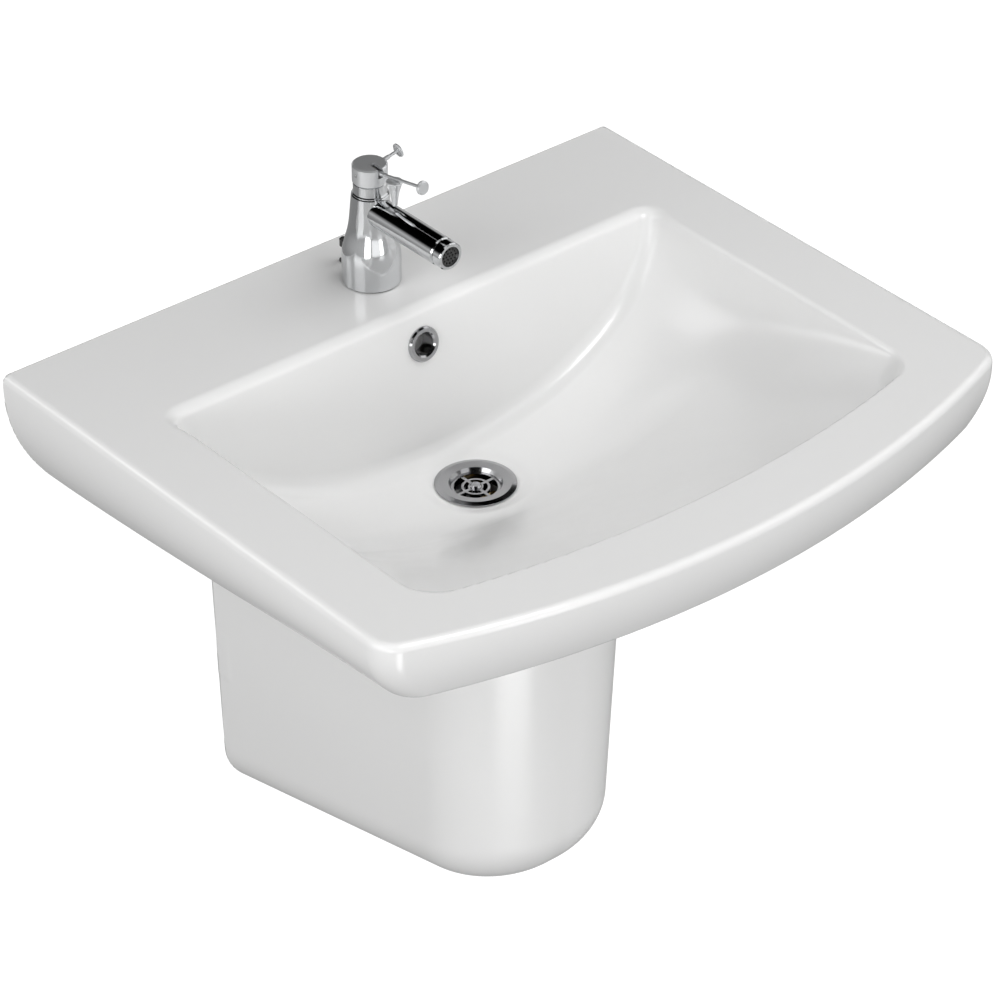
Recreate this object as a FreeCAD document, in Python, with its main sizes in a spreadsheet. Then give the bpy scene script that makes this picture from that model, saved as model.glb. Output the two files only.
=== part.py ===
"""Wall-hung ceramic basin with a semi-pedestal, a single-lever tap, a grid waste and a bottle trap.

Frame: millimetres, +Z up, +Y into the wall, +X along the wall. The wall surface is the plane Y = 0.
The origin is midway between the two wall studs of the basin, on the wall surface.
"""

import FreeCAD, Part
import math
import os
import re
import Sketcher

V = FreeCAD.Vector

SIZES = {
    # basin rim, in plan
    "rim_z": 90, "basin_w": 606, "front_y": 517, "front_bow_r": 800, "front_corner_r": 24, "front_lean": 0.22,
    "back_corner_r": 3, "deck_t": 14, "skirt_t": 13, "plate_t": 18,
    "plate_w": 400, "plate_low": 150,
    # bowl
    "bowl_half": 239, "bowl_back": 126, "bowl_front": 458, "bowl_bow_r": 936, "bowl_lean": 0.187,
    "bowl_deep": 127.5, "bowl_back_deep": 122, "bowl_lip": 5, "bowl_wall": 12,
    "bowl_back_r": 16, "bowl_front_r": 30, "ramp_start": 215, "ramp_blend": 50,
    # drain and overflow
    "drain_y": 195.5, "drain_hole_r": 23, "drain_boss_r": 38, "drain_boss_low": 165,
    "flange_r": 32.5, "over_z": 30, "over_hole_r": 11, "duct_half": 16, "duct_wall": 8,
    # tap
    "tap_y": 68.5, "tap_hole_r": 17.5, "tap_base_r": 23.6, "tap_top_r": 15, "tap_h": 78,
    "tap_bore_r": 12, "spout_r": 11.7, "spout_z": 64.8, "spout_end": 157, "spout_bore_r": 8.5,
    "neck_r": 13.4, "neck_h": 10.7, "cap_r": 14, "cap_low": 89, "cap_h": 14.8, "cap_wall": 2.2,
    "tap_tail_r": 5, "tap_tail_low": 150, "tap_tail_free": 96,
    "pivot_z": 97.4, "side_z": 101.2, "side_rise": 12.5, "side_reach": 15, "pin_rise": 11.5, "pivot_r": 1.5, "hub_r": 3.2, "lever_reach": 63.5,
    # wall fixings of the basin
    "stud_gap": 280, "stud_r": 5, "shank_step": 0.3, "stud_in": 60, "stud_out": 52,
    "nut_wide": 17, "nut_tall": 8,
    # semi-pedestal
    "ped_half": 125.5, "ped_deep": 318, "ped_top": 80, "ped_low": 495, "ped_draft": 0.031,
    "ped_front_draft": 0.034, "ped_taper": 0.123, "ped_corner_r": 81, "ped_wall": 12,
    "ped_rise": 0.122, "ped_round": 50, "lug_z": 345, "lug_gap": 176, "lug_t": 14,
    "ped_stud_r": 4, "ped_stud_in": 28, "ped_stud_out": 38,
    # waste and trap
    "tail_r": 16, "tail_bore_r": 14.4, "waste_low": 198, "trap_top": 238, "trap_r": 28,
    "trap_low": 340, "cup_r": 31, "cup_low": 400, "outlet_z": 300, "pipe_in": 35,
    "rosette_r": 38,
}

doc = FreeCAD.newDocument("basin")
sheet = doc.addObject("Spreadsheet::Sheet", "Sizes")
for row, (alias, value) in enumerate(SIZES.items(), start=1):
    sheet.set(f"A{row}", alias)
    sheet.set(f"B{row}", str(value))
    sheet.setAlias(f"B{row}", alias)
doc.recompute()

NODES = []


def cell(alias):
    """The number that a cell of the sheet holds."""
    return float(sheet.get(alias))


def bound(text):
    """The expression with every alias written as a cell of the sheet."""
    return re.sub(r"[a-z_]+", lambda m: "Sizes." + m.group(0) if m.group(0) in SIZES else m.group(0), text)


def value_of(text):
    """What an expression over the sheet comes to."""
    result = sheet.evalExpression(bound(text))
    return float(getattr(result, "Value", result))


TURNS = {
    "Z": V(0, 0, 1), "-Z": V(0, 0, -1), "X": V(1, 0, 0), "-X": V(-1, 0, 0), "Y": V(0, 1, 0), "-Y": V(0, -1, 0),
}


def place(item, at, along="Z"):
    """Puts an object at three expressions, its own Z turned along a direction."""
    direction = TURNS[along] if isinstance(along, str) else along
    item.Placement = FreeCAD.Placement(V(0, 0, 0), FreeCAD.Rotation(V(0, 0, 1), direction))
    for axis, text in zip("xyz", at):
        item.setExpression(f"Placement.Base.{axis}", bound(text))
    return item


def cylinder(name, radius, height, at, along="Z"):
    item = doc.addObject("Part::Cylinder", name)
    item.setExpression("Radius", bound(radius))
    item.setExpression("Height", bound(height))
    return place(item, at, along)


def block(name, length, width, height, at):
    item = doc.addObject("Part::Box", name)
    for side, text in zip(("Length", "Width", "Height"), (length, width, height)):
        item.setExpression(side, bound(text))
    return place(item, at)


def cone(name, low, high, height, at, along="Z"):
    item = doc.addObject("Part::Cone", name)
    for side, text in zip(("Radius1", "Radius2", "Height"), (low, high, height)):
        item.setExpression(side, bound(text))
    return place(item, at, along)


def hexagon(name, flats, height, at, along="Z"):
    item = doc.addObject("Part::Prism", name)
    item.Polygon = 6
    item.setExpression("Circumradius", bound(f"({flats}) / 2 / cos(30)"))
    item.setExpression("Height", bound(height))
    return place(item, at, along)


def fuse(name, *items):
    item = doc.addObject("Part::MultiFuse", name)
    item.Shapes = list(items)
    return item


def common(name, *items):
    item = doc.addObject("Part::MultiCommon", name)
    item.Shapes = list(items)
    return item


def cut(name, base, *tools):
    """The base with each tool taken out of it in turn."""
    item = base
    for index, tool in enumerate(tools):
        left = doc.addObject("Part::Cut", f"{name}_{index}")
        left.Base = item
        left.Tool = tool
        item = left
    return item


def group(name, items):
    item = doc.addObject("Part::Compound", name)
    item.Links = list(items)
    return item


def solid(name, shape):
    item = doc.addObject("Part::Feature", name)
    item.Shape = shape
    return item


def node(label, item):
    """Marks an object as a sub-part of its own."""
    item.Label = label
    NODES.append(item)
    return item


def origin_plane(body, role):
    return next(feature for feature in body.Origin.OriginFeatures if feature.Role == role)


def turned(name, profile, at, along="Z"):
    """A body turned from a closed profile of (radius, height) expressions, its axis along a direction."""
    body = doc.addObject("PartDesign::Body", f"{name}_body")
    sketch = body.newObject("Sketcher::SketchObject", f"{name}_sketch")
    sketch.AttachmentSupport = (origin_plane(body, "XZ_Plane"), [""])
    sketch.MapMode = "FlatFace"
    corners = [V(value_of(radius), value_of(height), 0) for radius, height in profile]
    for index, corner in enumerate(corners):
        sketch.addGeometry(Part.LineSegment(corner, corners[(index + 1) % len(corners)]), False)
    for index in range(len(corners)):
        sketch.addConstraint(Sketcher.Constraint("Coincident", index, 2, (index + 1) % len(corners), 1))
    for index, (corner, texts) in enumerate(zip(corners, profile)):
        for kind, number, text, axis in (("DistanceX", corner.x, texts[0], -2), ("DistanceY", corner.y, texts[1], -1)):
            if number == 0:
                sketch.addConstraint(Sketcher.Constraint("PointOnObject", index, 1, axis))
                continue
            constraint = sketch.addConstraint(Sketcher.Constraint(kind, -1, 1, index, 1, number))
            sketch.setExpression(f"Constraints[{constraint}]", bound(text))
    turn = body.newObject("PartDesign::Revolution", f"{name}_turn")
    turn.Profile = sketch
    turn.ReferenceAxis = (sketch, ["V_Axis"])
    turn.Angle = 360
    sketch.Visibility = False
    return place(body, at, along)


def ring(name, outer, inner, height, at, along="Z"):
    """A plain ring: a washer, seal or bush."""
    return turned(name, [(inner, "0"), (outer, "0"), (outer, height), (inner, height)], at, along)


# ---------------------------------------------------------------- basin

RIM = cell("rim_z")
FAR = 400.0


def bowed_plan(half, back, front, bow_r, back_r, front_r, low, high, lean=0.0, front_lean=0.0):
    """A slab whose plan is a rectangle with a bowed front, between two heights, corners rounded.

    lean moves the back edge forward for each millimetre of depth, and front_lean the front edge back."""

    def wire(z):
        back_y = -back - lean * (high - z)
        front_y = -front + front_lean * (high - z)
        corner_y = front_y + half * half / (2 * bow_r)
        front_arc = Part.Arc(V(-half, corner_y, z), V(0, front_y, z), V(half, corner_y, z)).toShape()
        sides = [
            Part.makeLine(V(half, corner_y, z), V(half, back_y, z)),
            Part.makeLine(V(half, back_y, z), V(-half, back_y, z)),
            Part.makeLine(V(-half, back_y, z), V(-half, corner_y, z)),
        ]
        return Part.Wire([front_arc] + sides)

    slab = Part.makeLoft([wire(low), wire(high)], True, True)
    uprights = [e for e in slab.Edges if abs(e.Vertexes[0].Z - e.Vertexes[-1].Z) > 1]
    front_edges = [e for e in uprights if e.CenterOfMass.y < -(back + front) / 2]
    back_edges = [e for e in uprights if e.CenterOfMass.y > -(back + front) / 2]
    slab = slab.makeFillet(front_r, front_edges)
    if back_r:
        back_edges = [
            e for e in slab.Edges
            if abs(e.Vertexes[0].Z - e.Vertexes[-1].Z) > 1
            and e.CenterOfMass.y > -(back + front) / 2 and len(e.Vertexes) == 2
        ]
        slab = slab.makeFillet(back_r, back_edges)
    return slab


def skirt_section(y, side):
    """One section of the basin's outside: flat top, sides curving in, flat underneath."""
    curve = Part.BSplineCurve()
    curve.interpolate([V(x, y, RIM + z) for x, z in side])
    mirror = Part.BSplineCurve()
    mirror.interpolate([V(-x, y, RIM + z) for x, z in reversed(side)])
    last_x, last_z = side[-1]
    first_x, first_z = side[0]
    edges = [
        curve.toShape(),
        Part.makeLine(V(last_x, y, RIM + last_z), V(-last_x, y, RIM + last_z)),
        mirror.toShape(),
        Part.makeLine(V(-first_x, y, RIM + first_z), V(first_x, y, RIM + first_z)),
    ]
    return Part.Wire(edges)


# (X, Z under the rim) down the side of the basin, at the wall, halfway and at the front
SIDE_AT_WALL = [(300, 0), (300, -12), (297, -38), (287, -70), (269, -99), (260, -109)]
SIDE_HALFWAY = [(299, 0), (299, -11), (297, -30), (289.5, -52), (278.5, -70), (266, -85)]
SIDE_AT_FRONT = [(298, 0), (298, -10), (296.5, -22), (291.5, -33), (283.5, -43), (274, -52)]


def skirt(inset):
    """The outside of the basin as one loft, its sides moved in by inset."""
    scale = cell("basin_w") / 600
    sections = []
    start = 1.0 if inset else 0.0
    for y, side in ((start, SIDE_AT_WALL), (-230, SIDE_HALFWAY), (-440, SIDE_AT_FRONT), (-540, SIDE_AT_FRONT)):
        sections.append(skirt_section(y, [(x * scale - inset, z) for x, z in side]))
    return Part.makeLoft(sections, True, True)


def floor_depth(y):
    """Depth of the bowl's centre line under the rim at a distance y in front of the wall."""
    deep, lip = cell("bowl_deep"), cell("bowl_lip")
    start, blend = cell("ramp_start"), cell("ramp_blend")
    slope = (deep - lip) / (cell("bowl_front") - start - blend / 2)
    if y < cell("drain_y"):
        share = (cell("drain_y") - y) / (cell("drain_y") - cell("bowl_back"))
        return deep - (deep - cell("bowl_back_deep")) * share ** 2
    ahead = y - start
    if ahead <= 0:
        return deep
    if ahead < blend:
        return deep - slope * ahead ** 2 / (2 * blend)
    return deep - slope * (ahead - blend / 2)


def trough(extra):
    """The hollow under the rim: half ellipses along the depth of the basin, grown by extra."""
    half = cell("bowl_half") + extra
    front = cell("bowl_front")
    sections = []
    for y in (100, 126, 150, 172, 195, 215, 228, 240, 252, 265, 330, 400, front + (18 if extra else 4)):
        deep = floor_depth(min(y, front + 3)) + extra
        bend = Part.Ellipse(V(0, -y, RIM), half, deep)
        bend.Axis = V(0, -1, 0)
        bend.XAxis = V(1, 0, 0)
        lower = (math.pi, 2 * math.pi) if bend.value(1.5 * math.pi).z < RIM else (0, math.pi)
        first, last = (bend.value(turn) for turn in lower)
        sections.append(Part.Wire([bend.toShape(*lower), Part.makeLine(last, first)]))
    return Part.makeLoft(sections, True, True)


def bowl(extra):
    """The hollow of the bowl, or its outside when grown by the wall."""
    opening = bowed_plan(
        cell("bowl_half") + extra, cell("bowl_back") - extra, cell("bowl_front") + extra,
        cell("bowl_bow_r"), cell("bowl_back_r") + extra, cell("bowl_front_r") + extra,
        RIM - 200, RIM, cell("bowl_lean"),
    )
    return trough(extra).common(opening)


def basin_shell():
    """The basin without its round holes."""
    plan = bowed_plan(
        cell("basin_w") / 2, 0, cell("front_y"), cell("front_bow_r"),
        cell("back_corner_r"), cell("front_corner_r"), RIM - 200, RIM, front_lean=cell("front_lean"),
    )
    outside = skirt(0).common(plan)
    inner_plan = bowed_plan(
        cell("basin_w") / 2 - cell("skirt_t"), -1,
        cell("front_y") - cell("skirt_t") - cell("front_lean") * cell("deck_t"), cell("front_bow_r"),
        0, cell("front_corner_r") - 12, RIM - 200, RIM - cell("deck_t"), front_lean=cell("front_lean"),
    )
    inside = skirt(cell("skirt_t"))
    below = Part.makeBox(2 * 246, FAR + 200, 200, V(-246, -FAR - 150, RIM - 260))
    hollow = inside.fuse(below).common(inner_plan)
    shell = outside.cut(hollow)
    plate = Part.makeBox(
        cell("plate_w"), cell("plate_t"), cell("plate_low") - 5,
        V(-cell("plate_w") / 2, -cell("plate_t"), RIM - cell("plate_low")),
    )
    wall_slab = Part.makeBox(2 * FAR, cell("plate_t"), 200, V(-FAR, -cell("plate_t"), RIM - 200))
    back_wall = outside.common(wall_slab)
    outer_bowl = bowl(cell("bowl_wall"))
    outer_bowl.translate(V(0, 0, -1))
    boss = Part.makeCylinder(
        cell("drain_boss_r"), cell("drain_boss_low") - 125, V(0, -cell("drain_y"), RIM - cell("drain_boss_low")))
    side = cell("duct_half") + cell("duct_wall")
    duct = Part.makeBox(2 * side, 44, 143, V(-side, -130, RIM - 153))
    duct_foot = Part.makeBox(2 * side, 95, 23, V(-side, -cell("drain_y"), RIM - 153))
    return shell.fuse([plate, back_wall, outer_bowl, boss, duct, duct_foot]).removeSplitter(), bowl(0)


shell_shape, bowl_shape = basin_shell()
solid_basin = solid("basin_solid", shell_shape)
bowl_space = solid("bowl_space", bowl_shape)
stud_holes = [
    cylinder(f"stud_hole_{name}", "7", "plate_t + 4", (f"{sign} * stud_gap / 2", "-plate_t - 2", "0"), "Y")
    for name, sign in (("left", "-1"), ("right", "1"))
]
tap_hole = cylinder("tap_hole", "tap_hole_r", "deck_t + 10", ("0", "-tap_y", "rim_z - deck_t - 5"))
drain_hole = cylinder("drain_hole", "drain_hole_r", "60", ("0", "-drain_y", "rim_z - drain_boss_low - 5"))
drain_seat = cylinder("drain_seat", "flange_r + 1", "12", ("0", "-drain_y", "rim_z - bowl_deep - 2"))
over_tilt = math.atan(cell("bowl_lean"))
over_out = V(0, -math.cos(over_tilt), math.sin(over_tilt))
over_at = ("0", "-bowl_back - bowl_lean * over_z", "rim_z - over_z")
over_hole = place(doc.addObject("Part::Cylinder", "over_hole"), over_at, over_out * -1)
over_hole.setExpression("Radius", bound("over_hole_r"))
over_hole.setExpression("Height", bound("bowl_wall + 6"))
duct_down = block(
    "duct_down", "2 * duct_half", "18", "124", ("-duct_half", "-112", "rim_z - 145"))
duct_along = block(
    "duct_along", "2 * duct_half", "90", "9", ("-duct_half", "-drain_y + 4", "rim_z - 147"))
node("basin", cut(
    "basin_cut", solid_basin, bowl_space, *stud_holes, tap_hole, drain_hole, drain_seat, over_hole,
    duct_down, duct_along,
))

node("overflow_ring", turned(
    "overflow_ring",
    [("9", "0"), ("10.8", "0"), ("10.8", "12"), ("14.5", "12"), ("14.5", "13.4"), ("13.2", "15"), ("10.4", "15"),
     ("9", "13.6")],
    ("0", "-bowl_back - bowl_lean * over_z + 12 * cos(atan(bowl_lean))",
     "rim_z - over_z - 12 * sin(atan(bowl_lean))"), over_out,
))

# ---------------------------------------------------------------- basin to wall

BOTH = (("left", "-1"), ("right", "1"))


def wall_set(prefix, gap, z, parts):
    """The same small parts at each side of the wall fixing, one node for each kind."""
    for label, maker in parts.items():
        node(label, group(f"{prefix}_{label}", [
            maker(f"{label}_{name}", f"{sign} * {gap} / 2", z) for name, sign in BOTH
        ]))


def stud(radius, outward, inward):
    """A hanger bolt: a machine thread on the room side and a slightly thicker screw in the wall."""
    def maker(name, x, z):
        return turned(name, [
            ("0", "0"), (f"{radius} - 1.2", "0"), (f"{radius} - shank_step", "1"),
            (f"{radius} - shank_step", f"{outward}"), (radius, f"{outward} + 0.2"),
            (radius, f"{outward} + {inward} - 6"), (f"{radius} - 3", f"{outward} + {inward}"),
            ("0", f"{outward} + {inward}"),
        ], (x, f"-({outward})", z), "Y")
    return maker


def washer(outer, inner, thick, start):
    def maker(name, x, z):
        return ring(name, outer, inner, thick, (x, f"-({start})", z), "-Y")
    return maker


def nut(flats, bore, tall, start):
    def maker(name, x, z):
        blank = hexagon(f"{name}_blank", flats, tall, (x, f"-({start})", z), "-Y")
        crown = cone(f"{name}_crown", f"({flats}) * 0.60", f"({flats}) * 0.46", tall, (x, f"-({start})", z), "-Y")
        hole = cylinder(f"{name}_hole", bore, f"{tall} + 2", (x, f"-({start}) + 1", z), "-Y")
        return cut(f"{name}_cut", common(f"{name}_hex", blank, crown), hole)
    return maker


def sleeve(name, x, z):
    return turned(name, [
        ("5.3", "0"), ("6.8", "0"), ("6.8", "plate_t"), ("14", "plate_t"), ("14", "plate_t + 3"),
        ("5.3", "plate_t + 3"),
    ], (x, "0", z), "-Y")


wall_set("wall", "stud_gap", "0", {
    "basin_wall_studs": stud("stud_r", "stud_out", "stud_in"),
    "basin_stud_sleeves": sleeve,
    "basin_stud_washers": washer("12", "5.4", "2", "plate_t + 3"),
    "basin_stud_nuts": nut("nut_wide", "stud_r + 0.1", "nut_tall", "plate_t + 5"),
})

# ---------------------------------------------------------------- semi-pedestal


def shroud(inset, grow_top):
    """The semi-pedestal as a closed solid, its walls moved in by inset."""
    top = RIM - cell("ped_top") + grow_top
    reach = cell("ped_low") + 60

    def wire(z):
        down = RIM - cell("ped_top") - z
        half = cell("ped_half") - cell("ped_draft") * down - inset
        deep = cell("ped_deep") - cell("ped_front_draft") * down - inset
        taper = cell("ped_taper")
        front_half = half - taper * deep
        back = 1.0 if inset else 0.0
        return Part.makePolygon([
            V(-half - taper * back, back, z), V(half + taper * back, back, z),
            V(front_half, -deep, z), V(-front_half, -deep, z), V(-half - taper * back, back, z),
        ])

    block_solid = Part.makeLoft([wire(RIM - reach), wire(top)], True, True)
    uprights = [
        e for e in block_solid.Edges
        if abs(e.Vertexes[0].Z - e.Vertexes[-1].Z) > 50 and e.CenterOfMass.y < -100
    ]
    block_solid = block_solid.makeFillet(cell("ped_corner_r") - inset, uprights)
    low = RIM - cell("ped_low") + inset
    rise = cell("ped_rise")
    wedge = Part.makePolygon([
        V(-FAR, 50, low - 50 * rise), V(-FAR, -FAR, low + FAR * rise), V(-FAR, -FAR, low - 300),
        V(-FAR, 50, low - 300), V(-FAR, 50, low - 50 * rise),
    ])
    under = Part.Face(wedge).extrude(V(2 * FAR, 0, 0))
    block_solid = block_solid.cut(under)
    bottom = [
        e for e in block_solid.Edges
        if all(v.Z < low + FAR * rise and abs(v.Z - (low - v.Y * rise)) < 0.5 for v in e.Vertexes)
        and e.CenterOfMass.y < -0.6
    ]
    return block_solid.makeFillet(cell("ped_round") - inset, bottom)


def pedestal_shell():
    walls = shroud(0, 0).cut(shroud(cell("ped_wall"), 5))
    hug = bowl(cell("bowl_wall") + 3)
    hug.translate(V(0, 0, -1))
    plate_gap = Part.makeBox(2 * FAR, 60, 200, V(-FAR, -cell("plate_t") - 4, RIM - cell("plate_low") - 3))
    walls = walls.cut(hug).cut(plate_gap)
    lugs = []
    for side in (-1, 1):
        outer = side * (cell("ped_half") - cell("ped_wall") / 2 - 8)
        inner = side * (cell("lug_gap") / 2 - 14)
        lugs.append(Part.makeBox(
            abs(outer - inner), cell("lug_t"), 50, V(min(outer, inner), -cell("lug_t"), RIM - cell("lug_z") - 25)))
    return walls.fuse(lugs).removeSplitter()


pedestal_solid = solid("pedestal_solid", pedestal_shell())
lug_holes = [
    cylinder(f"lug_hole_{name}", "5", "lug_t + 4", (f"{sign} * lug_gap / 2", "-lug_t - 2", "rim_z - lug_z"), "Y")
    for name, sign in BOTH
]
node("semi_pedestal", cut("pedestal_cut", pedestal_solid, *lug_holes))

wall_set("pedestal", "lug_gap", "rim_z - lug_z", {
    "pedestal_studs": stud("ped_stud_r", "ped_stud_out", "ped_stud_in"),
    "pedestal_washers": washer("10", "4.3", "2", "lug_t"),
    "pedestal_nuts": nut("13", "ped_stud_r + 0.1", "6.5", "lug_t + 2"),
})

# ---------------------------------------------------------------- tap

TAP = ("0", "-tap_y", "rim_z")


def on_tap(height):
    """A place on the tap's upright axis, at a height over the rim."""
    return ("0", "-tap_y", f"rim_z + {height}")


node("tap_base_seal", ring("tap_base_seal", "tap_base_r - 1", "tap_hole_r - 1.5", "1", TAP))


def tap_shape():
    """The outside of the tap's body: a straight foot and a shoulder that narrows in one smooth sweep."""
    base_r, top_r, height = cell("tap_base_r"), cell("tap_top_r"), cell("tap_h") - 1
    side = Part.BSplineCurve()
    side.interpolate(
        Points=[
            V(base_r, 0, 18), V(base_r - 0.5, 0, 26), V(base_r - 2.2, 0, 34), V(base_r - 4.3, 0, 41.5),
            V(base_r - 6.2, 0, 51), V(base_r - 7.5, 0, 64), V(top_r, 0, height - 0.6),
        ],
        InitialTangent=V(0, 0, 1), FinalTangent=V(-0.08, 0, 1),
    )
    corners = [V(top_r, 0, height - 0.6), V(top_r - 0.6, 0, height), V(0, 0, height), V(0, 0, 0), V(base_r, 0, 0)]
    edges = [Part.makeLine(first, last) for first, last in zip(corners, corners[1:] + [V(base_r, 0, 18)])]
    turned_shape = Part.Face(Part.Wire([side.toShape()] + edges)).revolve(V(0, 0, 0), V(0, 0, 1), 360)
    turned_shape.translate(V(0, -cell("tap_y"), RIM + 1))
    return turned_shape


tap_outside = solid("tap_outside", tap_shape())
spout_socket = cut(
    "spout_socket",
    cylinder("spout_socket_bore", "spout_r + 0.05", "30", ("0", "-tap_y - 4", "rim_z + spout_z"), "-Y"),
    cylinder("spout_socket_core", "tap_bore_r + 1.2", "60", on_tap("38")),
)
waterway = cylinder("waterway", "5", "14", ("0", "-tap_y - 3", "rim_z + spout_z"), "-Y")
cartridge_bore = cylinder("cartridge_bore", "tap_bore_r", "60", on_tap("38"))
inlet_bores = [
    cylinder(f"inlet_bore_{name}", "4.5", "24", (f"{sign} * 8.5", "-tap_y - 5", "rim_z - 2"))
    for name, sign in BOTH
]
inlet_ways = [
    cylinder(f"inlet_way_{name}", "2", "24", (f"{sign} * 7.5", "-tap_y - 5", "rim_z + 18"))
    for name, sign in BOTH
]
stud_bore = cylinder("stud_bore", "4", "22", ("0", "-tap_y + 10", "rim_z - 1"))
node("tap_body", cut(
    "tap_body_cut", tap_outside, spout_socket, waterway, cartridge_bore, *inlet_bores, *inlet_ways, stud_bore))

spout_tube = turned("spout_tube", [
    ("spout_bore_r", "0"), ("spout_r", "0"), ("spout_r", "spout_end - tap_y - 5"),
    ("spout_r - 1", "spout_end - tap_y - 4"), ("spout_bore_r", "spout_end - tap_y - 4"),
], ("0", "-tap_y - 4", "rim_z + spout_z"), "-Y")
node("tap_spout", cut(
    "tap_spout_cut", spout_tube,
    cylinder("spout_round_bore", "tap_bore_r + 1.25", "60", on_tap("40")),
))
AERATOR = ("0", "-spout_end", "rim_z + spout_z")
node("aerator_housing", turned("aerator_housing", [
    ("7", "0.4"), ("spout_r - 1.2", "0.4"), ("spout_r - 0.4", "1.4"), ("spout_r - 0.4", "8.6"),
    ("spout_r - 1.2", "9.4"), ("8.4", "9.4"), ("8.4", "3"), ("7", "3"),
], AERATOR, "-Y"))
aerator_disc = turned("aerator_disc", [
    ("0", "3.2"), ("8.3", "3.2"), ("8.3", "8.2"), ("0", "8.2"),
], AERATOR, "-Y")
aerator_holes = []
for ring_r, count in ((0.0, 1), (3.0, 6), (6.0, 12)):
    for index in range(count):
        turn = 2 * math.pi * index / count
        aerator_holes.append(cylinder(
            f"aerator_hole_{int(ring_r)}_{index}", "0.9", "9",
            (f"{ring_r * math.cos(turn):.4f}", "-spout_end - 1.2",
             f"rim_z + spout_z + {ring_r * math.sin(turn):.4f}"), "-Y"))
node("aerator_insert", cut("aerator_insert_cut", aerator_disc, *aerator_holes))
node("aerator_seal", ring("aerator_seal", "spout_r - 1.6", "7.4", "0.4", AERATOR, "-Y"))

node("cartridge_nut", turned("cartridge_nut", [
    ("7.6", "0"), ("tap_top_r - 0.8", "0"), ("tap_top_r - 0.8", "0.8"), ("neck_r", "1.6"), ("neck_r", "neck_h - 1"),
    ("neck_r - 1", "neck_h - 0.2"), ("7.6", "neck_h - 0.2"),
], on_tap("tap_h + 0.1")))
node("cartridge_body", turned("cartridge_body", [
    ("4.6", "4.4"), ("7.4", "4.4"), ("7.4", "2"), ("tap_bore_r - 1.5", "2"), ("tap_bore_r - 1.5", "0"),
    ("tap_bore_r - 0.1", "0"), ("tap_bore_r - 0.1", "37.8"), ("7.4", "37.8"), ("7.4", "46"), ("4.6", "46"),
], on_tap("40")))
fixed_disc = cylinder("fixed_disc_blank", "tap_bore_r - 0.4", "1.8", on_tap("38.1"))
node("ceramic_disc_fixed", cut("fixed_disc_cut", fixed_disc, *[
    cylinder(f"fixed_port_{index}", "2", "4", (x, y, "rim_z + 37"))
    for index, (x, y) in enumerate((("6", "-tap_y - 4"), ("-6", "-tap_y - 4"), ("0", "-tap_y + 6")))
]))
moving_disc = cylinder("moving_disc_blank", "9.6", "1.8", on_tap("40"))
node("ceramic_disc_moving", cut("moving_disc_cut", moving_disc, cylinder(
    "moving_port", "5", "0.9", on_tap("39.9"))))
node("cartridge_stem", turned("cartridge_stem", [
    ("0", "0"), ("6.8", "0"), ("6.8", "1.8"), ("4.5", "1.8"), ("4.5", "47"), ("3", "51.6"), ("0", "51.6"),
], on_tap("41.9")))

# ---------------------------------------------------------------- head and lever

cap_outside = turned("cap_outside", [
    ("0", "0"), ("cap_r", "0"), ("cap_r", "cap_h - 1.2"), ("cap_r - 1.2", "cap_h - 0.2"), ("cap_r - 4", "cap_h"),
    ("0", "cap_h"),
], on_tap("cap_low + 0.3"))
cap_hollow = cylinder("cap_hollow", "cap_r - cap_wall", "cap_h - cap_wall", on_tap("cap_low"))
cap_notch = block(
    "cap_notch", "4.8", "cap_r", "20", ("-2.4", "-tap_y - cap_r - 2", "rim_z + pivot_z - 1.2"))
pivot_hole = cylinder(
    "pivot_hole", "pivot_r", "2 * cap_r + 4", ("-cap_r - 2", "-tap_y", "rim_z + pivot_z"), "X")
side_turn = math.radians(cell("side_rise"))
side_dir = V(math.cos(side_turn), 0, math.sin(side_turn))
side_hole = cylinder(
    "side_hole", "1.9", "6", ("cap_r - 1.6 - 1.6 * cos(side_rise)", "-tap_y",
    "rim_z + side_z - 1.6 * sin(side_rise)"), side_dir)
grub_bore = cylinder("grub_bore", "1.6", "6", ("0", "-tap_y + cap_r - 4", "rim_z + 95"), "Y")
node("head_cap", cut("head_cap_cut", cap_outside, cap_hollow, cap_notch, pivot_hole, side_hole, grub_bore))
node("grub_screw", cylinder(
    "grub_screw", "1.55", "2.8", ("0", "-tap_y + cap_r - 3.2", "rim_z + 95"), "Y"))
node("lever_pivot_pin", cylinder(
    "lever_pivot_pin", "pivot_r", "2 * cap_r - 1.6", ("-cap_r + 0.8", "-tap_y", "rim_z + pivot_z"), "X"))
node("side_pin", turned("side_pin", [
    ("0", "0"), ("1.85", "0"), ("1.85", "6"), ("1.35", "7.4"), ("1.35", "side_reach"), ("0", "side_reach"),
], ("cap_r - 1.6", "-tap_y", "rim_z + side_z"), side_dir))
node("side_disc", turned("side_disc", [
    ("0", "0"), ("4.6", "0"), ("5.8", "0.7"), ("5.8", "1.7"), ("4.6", "2.4"), ("0", "2.4"),
], ("cap_r - 1.6 + side_reach * cos(side_rise)", "-tap_y", "rim_z + side_z + side_reach * sin(side_rise)"), side_dir))

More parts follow.
